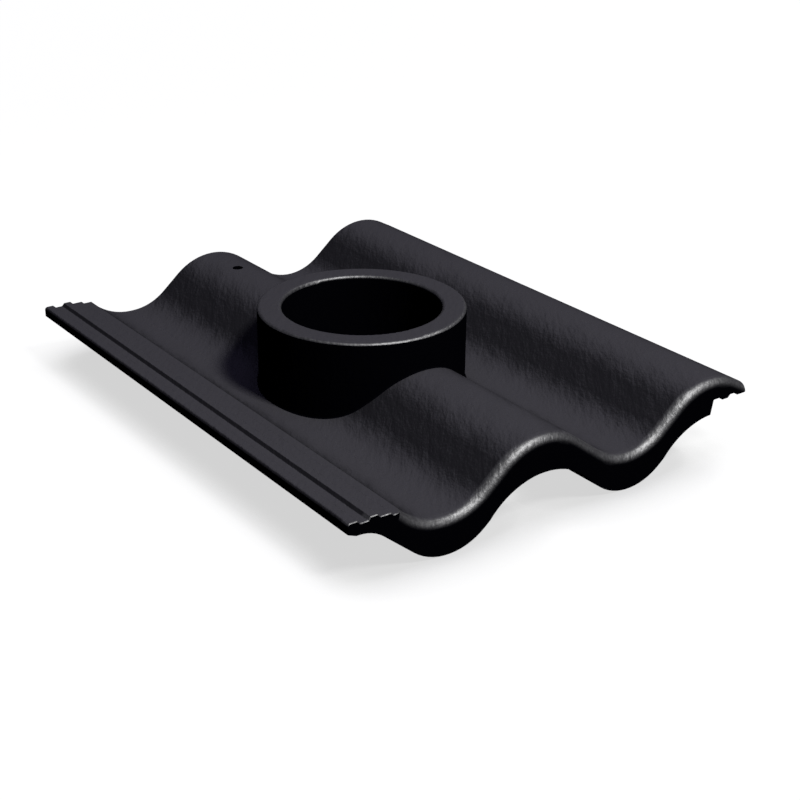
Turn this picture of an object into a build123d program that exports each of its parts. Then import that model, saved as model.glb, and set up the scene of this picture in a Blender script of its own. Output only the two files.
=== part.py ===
from build123d import *
from dataclasses import dataclass
from math import asin, atan2, cos, hypot, radians, sin, sqrt, tan
import os

# Concrete double-S roof tile with a pipe collar cast onto its first wave, in millimetres.
# X runs across the roof, Y from the nose up to the head, and Z up from the foot of the nose.

# The tile as a whole
length = 420.0
wave_pitch = 150.0
wave_count = 2
lip_reach = 34.0
body_thickness = 13.5

# The wave, with heights measured from the seat that the next tile's lip lies on
crest_rise = 17.3
trough_drop = 17.0
crest_radius = 48.0
flank_run = 19.0
wave_lean = 1.3
first_trough = 75.5

# The nose, its rounded upper edge and the weather bar behind it
nose_depth = 25.7
nose_length = 24.0
nose_radius = 7.0
nose_arch_radius = 55.0
nose_arch_shift = 1.0
bar_start = 33.0
bar_length = 10.0
bar_depth = 20.0

# The side lock on the left edge, and the lip on the right edge that covers the next one
lock_width = 32.0
lock_thickness = 7.5
rib_height = 2.1
rib_flank = 1.9
first_rib = 7.0
channel = 5.5
second_rib = 5.2
seat_drop = 1.8
seat_edge = 0.8
lock_bevel_run = 6.0
lock_bevel_rise = 2.4
rib_corner = 0.8
rib_edge = 2.2
edge_break = 0.5
lock_corner = 4.5
knee_start = 7.5
knee_radius = 28.0
run_in_radius = 46.0
run_in_flat = 2.0
lap_gap = 0.3
shoulder_gap = 1.5
shoulder_lean = 2.0
lip_slope = 28.0
lip_corner = 1.0
tip_radius = 4.0

# The collar for a vent pipe, its bore, and the nail hole near the head
pipe_diameter = 110.0
pipe_clearance = 2.5
collar_wall = 17.5
collar_rise = 41.9
collar_from_nose = 201.0
collar_rim = 2.5
collar_foot = 0.8
sleeve_stop = 2.0
nail_hole = 8.5
nail_from_head = 44.0

# Two hanging nibs under the troughs at the head
nib_width = 44.0
nib_length = 20.0
nib_from_head = 12.0
nib_splay = 3.0
nib_corner = 3.0

# Places that follow from the sizes above
cover_width = wave_count * wave_pitch
width = cover_width + lip_reach
left = -width / 2
right = width / 2
nose = -length / 2
head = length / 2
seat = nose_depth + trough_drop
crest_top = seat + crest_rise
trough_bottom = seat - trough_drop
rise_run = wave_pitch / 2 - wave_lean
wave_height = crest_rise + trough_drop
trough_radius = (rise_run**2 + wave_height**2 - flank_run**2) / (2 * wave_height) - crest_radius
bore_radius = pipe_diameter / 2 + pipe_clearance
collar_radius = bore_radius + collar_wall
collar_top = seat + collar_rise
collar_bottom = trough_bottom - body_thickness + sleeve_stop
outside = 10.0


@dataclass
class Bend:
    """A round stretch of the outline: a hump lies over its centre, a hollow under it."""

    x: float
    z: float
    radius: float
    side: int

    def at(self, x):
        return (x, self.z + self.side * sqrt(self.radius**2 - (x - self.x) ** 2))


def hump(x, top, radius):
    return Bend(x, top - radius, radius, 1)


def hollow(x, bottom, radius):
    return Bend(x, bottom + radius, radius, -1)


def flank(a, b):
    """Ends of the straight flank that touches two neighbouring bends."""
    run = b.x - a.x
    rise = b.side * (b.z - a.z)
    slope = atan2(rise, run) + asin((a.radius + b.radius) / hypot(run, rise))
    leave = (a.x + a.radius * sin(slope), a.z + a.side * a.radius * cos(slope))
    reach = (b.x - b.radius * sin(slope), b.z + b.side * b.radius * cos(slope))
    return leave, reach


def bend_line(bend, start, end):
    """One arc of a bend between two of its points."""
    ThreePointArc(start, bend.at((start[0] + end[0]) / 2), end)


def wave_line(bends, x_start, x_end):
    """The smooth line through a row of bends, with straight flanks between them."""
    here = bends[0].at(x_start)
    for a, b in zip(bends, bends[1:]):
        leave, reach = flank(a, b)
        bend_line(a, here, leave)
        Line(leave, reach)
        here = reach
    bend_line(bends[-1], here, bends[-1].at(x_end))


def waves(depth):
    """Troughs and crests from left to right, a depth below the upper face."""
    bends = []
    for n in range(wave_count):
        trough_x = left + first_trough + n * wave_pitch
        bends.append(hollow(trough_x, trough_bottom - depth, trough_radius))
        bends.append(hump(trough_x + rise_run, crest_top - depth, crest_radius))
    return bends


def lock_points(edge):
    """Ribs and channel of a side lock, from the edge of its first rib to the start of its seat."""
    x = edge + first_rib
    points = [(x, seat + rib_height)]
    for step, height in (
        (rib_flank, 0),
        (channel, 0),
        (rib_flank, rib_height),
        (second_rib, rib_height),
        (rib_flank, 0),
    ):
        x += step
        points.append((x, seat + height))
    return points


top_bends = waves(0)
crests = [b for b in top_bends if b.side > 0]
troughs = [b for b in top_bends if b.side < 0]
run_in = hollow(troughs[0].x - run_in_flat, trough_bottom, run_in_radius)
shelf = seat - seat_drop
shelf_end = run_in.x - sqrt(run_in_radius**2 - (run_in.z - shelf) ** 2)
blank_end = shelf_end - lock_corner
lip_bend = crests[-1].at(min(crests[-1].x + crest_radius * sin(radians(lip_slope)), right - tip_radius))
lip_top = lip_bend[1] - (right - lip_bend[0]) * tan(radians(lip_slope))
collar_y = nose + collar_from_nose


def underside_outline(depth):
    """Outline of what is cleared away under the tile, a depth below its upper face."""
    bottom = seat - lock_thickness
    knee = hump(left + knee_start, bottom, knee_radius)
    lip_edge = left + cover_width
    bends = [knee] + waves(depth)
    shoulder = bends[-1].at(lip_edge - shoulder_gap)
    lip = [(x, z + lap_gap) for x, z in lock_points(lip_edge)]
    lip_start = (shoulder[0] + shoulder_lean, lip[0][1])
    lip_end = (right - lip_corner, seat + lap_gap)
    lip_side = (right, lip_end[1] + lip_corner)
    lock_side = (left, bottom + lock_bevel_rise)
    Polyline(lock_side, (left + lock_bevel_run, bottom), (knee.x, bottom))
    wave_line(bends, knee.x, shoulder[0])
    FilletPolyline(shoulder, lip_start, *lip, lip_end, radius=rib_corner)
    RadiusArc(lip_end, lip_side, -lip_corner)
    Polyline(
        lip_side,
        (right + outside, lip_side[1]),
        (right + outside, -outside),
        (left - outside, -outside),
        (left - outside, lock_side[1]),
        lock_side,
    )


# Side lock of the left edge, cut off square at the nose with its inner corner rounded
with BuildPart() as lock:
    with BuildSketch(Plane.XZ.offset(nose)):
        with BuildLine():
            seat_end = left + lock_width
            rib_top = seat + rib_height
            JernArc((left, rib_top - rib_edge), (0, 1), rib_edge, -90)
            FilletPolyline(
                (left + rib_edge, rib_top),
                *lock_points(left),
                (seat_end - seat_edge, seat),
                (seat_end + seat_edge, shelf),
                (shelf_end, shelf),
                radius=rib_corner,
            )
            Polyline((shelf_end, shelf), (shelf_end, 0), (left, 0), (left, rib_top - rib_edge))
        make_face()
    extrude(amount=length)
    corner = lock.edges().filter_by(Axis.Z).sort_by_distance((shelf_end, nose, 0))[0]
    fillet(corner, lock_corner)
    front = lock.faces().sort_by(Axis.Y)[0]
    rib_edges = front.edges().filter_by(Axis.Z, reverse=True).filter_by_position(Axis.Z, 1, crest_top)
    chamfer(rib_edges, edge_break)

with BuildPart() as tile:
    # Waved body as a deep blank, with its nose rounded over
    with BuildSketch(Plane.XZ.offset(nose)):
        with BuildLine():
            bend_line(run_in, run_in.at(blank_end), (run_in.x, trough_bottom))
            Line((run_in.x, trough_bottom), (troughs[0].x, trough_bottom))
            wave_line(top_bends, troughs[0].x, lip_bend[0])
            Polyline(lip_bend, (right, lip_top), (right, 0), (blank_end, 0), run_in.at(blank_end))
        make_face()
    extrude(amount=length)
    front = tile.faces().sort_by(Axis.Y)[0]
    nose_edges = front.edges().filter_by(Axis.Z, reverse=True).filter_by_position(Axis.Z, 1, crest_top)
    fillet(nose_edges, nose_radius)
    tip = tile.edges().filter_by(Axis.Y).group_by(Axis.X)[-1].sort_by(Axis.Z)[-1]
    fillet(tip, tip_radius)

    # Blank trimmed level with the shelf of the lock, and the lock joined on
    with BuildSketch(Plane.XZ.offset(nose)):
        with Locations((shelf_end, shelf)):
            Rectangle(lock_corner + outside, crest_top, align=(Align.MAX, Align.MIN))
    extrude(amount=length, mode=Mode.SUBTRACT)
    add(lock.part)

    # Underside: nose, drip groove, weather bar and the thinner body behind them
    bar_end = bar_start + bar_length
    for start, stop, depth in (
        (0, nose_length, nose_depth),
        (nose_length, bar_start, body_thickness),
        (bar_start, bar_end, bar_depth),
        (bar_end, length, body_thickness),
    ):
        with BuildSketch(Plane.XZ.offset(-nose - start)):
            with BuildLine():
                underside_outline(depth)
            make_face()
            if depth == nose_depth:
                for crest in crests:
                    arch_top = crest_top - nose_depth
                    with Locations((crest.x + nose_arch_shift, arch_top - nose_arch_radius)):
                        Circle(nose_arch_radius)
        extrude(amount=start - stop, mode=Mode.SUBTRACT)

    # Collar through the first crest, with a small blend where it stands on the waves
    with BuildSketch(Plane.XY.offset(collar_bottom)):
        with Locations((crests[0].x, collar_y)):
            Circle(collar_radius)
    extrude(amount=collar_top - collar_bottom)
    foot = tile.edges().sort_by_distance((crests[0].x, collar_y - collar_radius, crest_top))[0]
    fillet(foot, collar_foot)

    # Hanging nibs under the troughs, rooted halfway up the body
    foot_half = nib_width / 2
    root_half = foot_half + nib_splay
    with BuildSketch(Plane.XZ.offset(-head + nib_from_head)) as nibs:
        for trough in troughs:
            with Locations((trough.x, 0)):
                Polygon((-foot_half, 0), (foot_half, 0), (root_half, seat), (-root_half, seat), align=None)
        with BuildLine():
            underside_outline(body_thickness / 2)
        make_face(mode=Mode.INTERSECT)
        fillet(nibs.vertices().group_by(Axis.Y)[0], nib_corner)
    extrude(amount=nib_length)

    # Bore for the pipe and the nail hole
    with Locations((crests[0].x, collar_y, collar_top)):
        Hole(bore_radius)
    with Locations((crests[0].x, head - nail_from_head, crest_top)):
        Hole(nail_hole / 2)
    rim = tile.faces().sort_by(Axis.Z)[-1]
    fillet(rim.edges(), collar_rim)

tile.part.label = "penetration_tile"
os.makedirs("parts", exist_ok=True)
export_step(tile.part, "parts/penetration_tile.step")
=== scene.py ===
import bmesh
import bpy
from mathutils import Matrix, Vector

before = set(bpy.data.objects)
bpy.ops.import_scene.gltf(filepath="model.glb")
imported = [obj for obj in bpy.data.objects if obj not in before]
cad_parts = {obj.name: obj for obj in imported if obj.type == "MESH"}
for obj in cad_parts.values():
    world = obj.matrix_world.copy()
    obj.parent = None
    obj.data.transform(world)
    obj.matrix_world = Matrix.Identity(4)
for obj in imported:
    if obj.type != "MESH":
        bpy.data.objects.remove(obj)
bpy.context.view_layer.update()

# The tile: one piece of dark concrete, pressed to a double wave on a pallet, with the pipe collar
# cast through its first crest. A pigmented slurry coat is sprayed on while the concrete is wet.


def linear(hex_colour):
    """An sRGB hex colour as the linear RGBA that the shaders take."""
    values = [int(hex_colour[i:i + 2], 16) / 255 for i in (1, 3, 5)]
    return [v / 12.92 if v <= 0.04045 else ((v + 0.055) / 1.055) ** 2.4 for v in values] + [1.0]


def add_node(tree, kind, inputs, **settings):
    """Adds a shader node, sets its properties, and gives each input a value or another node's socket."""
    added = tree.nodes.new("ShaderNode" + kind)
    for name, value in settings.items():
        setattr(added, name, value)
    for name, value in inputs.items():
        if isinstance(value, bpy.types.NodeSocket):
            tree.links.new(value, added.inputs[name])
        else:
            added.inputs[name].default_value = value
    return added


# The skin of the concrete: grain drawn out along one direction by the slurry, over round pores. Real
# sand grains are about a millimetre, so both are drawn coarser to show in the render.
mm = 0.001
grain_width = 3.6 * mm
grain_height = 0.52 * mm
grain_turn = -0.61
pore_width = 2 * mm
coat = bpy.data.materials.new("coated_concrete")
coat.use_nodes = True
tree = coat.node_tree
tree.nodes.clear()
place = add_node(tree, "TexCoord", {})
drawn = add_node(tree, "Mapping", {
    "Vector": place.outputs["Object"], "Rotation": (0, 0, grain_turn), "Scale": (1, 3, 3),
}, vector_type="TEXTURE")
grain = add_node(tree, "TexNoise", {
    "Vector": drawn.outputs[0], "Scale": 1 / grain_width, "Detail": 3.0, "Roughness": 0.5,
})
pores = add_node(tree, "TexNoise", {"Vector": place.outputs["Object"], "Scale": 1 / pore_width, "Detail": 2.0})
relief = add_node(tree, "Math", {
    0: pores.outputs["Fac"], 1: 0.4, 2: grain.outputs["Fac"],
}, operation="MULTIPLY_ADD")
bump = add_node(tree, "Bump", {"Strength": 1.0, "Distance": grain_height, "Height": relief.outputs[0]})

# Painted shade: the colour fades from the coat's grey on the flats to a darker mix on steep slopes,
# by how far the bumped surface turns from up, broken by uneven patches of random tone. Upright
# faces go almost black, which is painted shade too, far darker than the concrete itself.
patch_width = 11 * mm
upward = add_node(tree, "VectorMath", {0: bump.outputs[0], 1: (0, 0, 1)}, operation="DOT_PRODUCT")
patches = add_node(tree, "TexNoise", {
    "Vector": drawn.outputs[0], "Scale": 1 / patch_width, "Detail": 4.0, "Roughness": 0.65,
})
patchy = add_node(tree, "MapRange", {"Value": patches.outputs["Fac"], "To Min": -0.1, "To Max": 0.1})
tilt_and_patches = add_node(tree, "Math", {0: upward.outputs["Value"], 1: patchy.outputs[0]}, operation="ADD")
# Painted shade: slopes keep only part of the coat's grey, flats keep all of it.
slope_shade = add_node(tree, "MapRange", {
    "Value": tilt_and_patches.outputs[0], "From Min": 0.74, "From Max": 1.0, "To Min": 0.29,
}, interpolation_type="SMOOTHSTEP")
shape = add_node(tree, "NewGeometry", {})
level = add_node(tree, "VectorMath", {0: shape.outputs["Normal"], 1: (0, 0, 1)}, operation="DOT_PRODUCT")
# Painted shade: upright faces take the almost black colour and no sheen.
clear_of_upright_shade = add_node(tree, "MapRange", {
    "Value": level.outputs["Value"], "From Min": 0.08, "From Max": 0.58,
}, interpolation_type="SMOOTHSTEP")

# Painted shade: a thin band round the concave foot of the collar takes the almost black colour and loses its
# sheen.
collar_middle = (-17.8 * mm, -9 * mm, 0)
collar_foot = 75.5 * mm
foot_corner = 0.7 * mm
flat = add_node(tree, "VectorMath", {0: place.outputs["Object"], 1: (1, 1, 0)}, operation="MULTIPLY")
away = add_node(tree, "VectorMath", {0: flat.outputs[0], 1: collar_middle}, operation="DISTANCE")
foot_shade_band = add_node(tree, "Math", {0: away.outputs["Value"], 1: collar_foot, 2: foot_corner}, operation="COMPARE")
clear = add_node(tree, "Math", {0: 1.0, 1: foot_shade_band.outputs[0]}, operation="SUBTRACT")
outside_painted_shade = add_node(tree, "Math", {0: clear_of_upright_shade.outputs[0], 1: clear.outputs[0]}, operation="MULTIPLY")
# The coat's grey gives way to painted shade on slopes, upright faces and the collar's foot.
shade_to_grey = add_node(tree, "Math", {0: slope_shade.outputs[0], 1: outside_painted_shade.outputs[0]}, operation="MULTIPLY")

# The underside is left uncoated, and is paler than the upright faces with dry cement dust.
under = add_node(tree, "MapRange", {"Value": level.outputs["Value"], "From Min": -0.2, "From Max": -0.5})
# Almost black on upright faces is painted shade; the paler underside colour is cement dust.
shade_black_or_dust = add_node(tree, "Mix", {
    0: under.outputs[0], 6: linear("#040407"), 7: linear("#2a2a2c"),
}, data_type="RGBA")
colour = add_node(tree, "Mix", {
    0: shade_to_grey.outputs[0], 6: shade_black_or_dust.outputs[2], 7: linear("#3c3b3e"),
}, data_type="RGBA")

# The coat dries dull. It is rubbed smooth where the nose and the rim of the collar are rounded over,
# and shines a little there, broken up by the pores.
nose_round_start = -202 * mm
nose_round_full = -204 * mm
rim_round_start = 81.5 * mm
rim_round_full = 82.5 * mm
worn = add_node(tree, "MapRange", {
    "Value": pores.outputs["Fac"], "From Min": 0.3, "From Max": 0.7, "To Min": 0.53, "To Max": 1.0,
})
spot = add_node(tree, "SeparateXYZ", {0: place.outputs["Object"]})
nose = add_node(tree, "MapRange", {
    "Value": spot.outputs["Y"], "From Min": nose_round_start, "From Max": nose_round_full,
})
rim = add_node(tree, "MapRange", {
    "Value": spot.outputs["Z"], "From Min": rim_round_start, "From Max": rim_round_full,
})
edge = add_node(tree, "Math", {0: nose.outputs[0], 1: rim.outputs[0]}, operation="MAXIMUM")
turned = add_node(tree, "MapRange", {
    "Value": level.outputs["Value"], "From Min": 0.82, "From Max": 0.95, "To Min": 1.0, "To Max": 0.0,
})
rubbed = add_node(tree, "Math", {0: edge.outputs[0], 1: turned.outputs[0]}, operation="MULTIPLY")
polish = add_node(tree, "MapRange", {"Value": rubbed.outputs[0], "To Min": 0.08})
smooth = add_node(tree, "Math", {0: worn.outputs[0], 1: polish.outputs[0]}, operation="MULTIPLY")
gloss = add_node(tree, "Math", {0: outside_painted_shade.outputs[0], 1: smooth.outputs[0]}, operation="MULTIPLY")
surface = add_node(tree, "BsdfPrincipled", {
    "Base Color": colour.outputs[2], "Roughness": 0.54, "IOR": 2.0,
    "Specular IOR Level": gloss.outputs[0], "Normal": bump.outputs[0],
})
add_node(tree, "OutputMaterial", {"Surface": surface.outputs[0]})
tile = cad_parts["penetration_tile"]
for slot in tile.material_slots:
    slot.material = coat

# The floor: a wide sheet of plain white paper, which the camera sees as white and which throws hardly
# any light back at the dark concrete. Its shadow under the tile is partly cast by the lamps and partly
# painted shadow, where ambient occlusion dims its glow close to the tile.
floor_half_width = 40.0
shadow_reach = 45 * mm
floor_mesh = bpy.data.meshes.new("floor")
sheet = bmesh.new()
bmesh.ops.create_grid(sheet, x_segments=1, y_segments=1, size=floor_half_width)
sheet.to_mesh(floor_mesh)
sheet.free()
floor = bpy.data.objects.new("floor", floor_mesh)
bpy.context.scene.collection.objects.link(floor)
paper = bpy.data.materials.new("white_paper")
paper.use_nodes = True
tree = paper.node_tree
tree.nodes.clear()
ray = add_node(tree, "LightPath", {})
place = add_node(tree, "TexCoord", {})
reach = add_node(tree, "VectorMath", {0: place.outputs["Object"]}, operation="LENGTH")
open_white = add_node(tree, "MapRange", {
    "Value": reach.outputs["Value"], "From Min": 1.0, "From Max": 4.0, "To Min": 0.95, "To Max": 1.0,
})
# Painted shadow: ambient occlusion dims the floor's glow close to the tile.
painted_contact_shadow = add_node(tree, "AmbientOcclusion", {"Distance": shadow_reach})
shaded = add_node(tree, "MapRange", {
    "Value": painted_contact_shadow.outputs["AO"], "From Min": 0.6, "From Max": 0.98,
    "To Min": 0.645, "To Max": open_white.outputs[0],
})
glow = add_node(tree, "Emission", {"Color": linear("#ffffff"), "Strength": shaded.outputs[0]})
shade = add_node(tree, "BsdfDiffuse", {"Color": linear("#505050")})
seen = add_node(tree, "AddShader", {0: glow.outputs[0], 1: shade.outputs[0]})
bounced = add_node(tree, "BsdfDiffuse", {"Color": linear("#0c0c0c")})
both = add_node(tree, "MixShader", {0: ray.outputs["Is Camera Ray"], 1: bounced.outputs[0], 2: seen.outputs[0]})
add_node(tree, "OutputMaterial", {"Surface": both.outputs[0]})
floor.data.materials.append(paper)

# The studio: a surround that is white to the camera, a key box in front that casts the collar's
# shadow, and a weak bluish box overhead that lifts that shadow and stays out of the sheen.
world = bpy.data.worlds.new("studio")
bpy.context.scene.world = world
world.use_nodes = True
tree = world.node_tree
tree.nodes.clear()
ray = add_node(tree, "LightPath", {})
fill = add_node(tree, "Background", {"Color": linear("#ccc5ff"), "Strength": 0.03})
white = add_node(tree, "Background", {"Color": linear("#ffffff"), "Strength": 1.0})
both = add_node(tree, "MixShader", {0: ray.outputs["Is Camera Ray"], 1: fill.outputs[0], 2: white.outputs[0]})
add_node(tree, "OutputWorld", {"Surface": both.outputs[0]})
tile_middle = (0, 0, 0.05)
box_distance = 4.0


def soft_box(name, direction, side, watts, tint, mirrored):
    """A square area lamp that faces the tile from a direction, and shows in the sheen if it is mirrored."""
    lamp = bpy.data.lights.new(name, "AREA")
    lamp.size = side
    lamp.energy = watts
    lamp.color = linear(tint)[:3]
    holder = bpy.data.objects.new(name, lamp)
    holder.visible_glossy = mirrored
    away = Vector(direction).normalized()
    holder.location = Vector(tile_middle) + away * box_distance
    holder.rotation_euler = away.to_track_quat("Z", "Y").to_euler()
    bpy.context.scene.collection.objects.link(holder)


soft_box("key", (0.099, -0.594, 0.799), 0.7, 160, "#ffffff", True)
soft_box("overhead", (0, 0, 1), 2.0, 28, "#d0caff", False)

# The camera stands to the left of the nose and looks down on it, as in the photograph. Its place,
# lens and shift come from a camera fitted to the tile's outline.
camera = bpy.data.cameras.new("camera")
camera.lens = 69.27
camera.sensor_width = 36
camera.shift_x = 0.04457
camera.shift_y = 0.0006
stand = bpy.data.objects.new("camera", camera)
stand.location = (-0.6029, -0.8532, 0.4818)
stand.rotation_euler = Vector((0.5187, 0.7455, -0.4186)).to_track_quat("-Z", "Y").to_euler()
bpy.context.scene.collection.objects.link(stand)
bpy.context.scene.camera = stand
bpy.context.scene.view_settings.view_transform = "Standard"
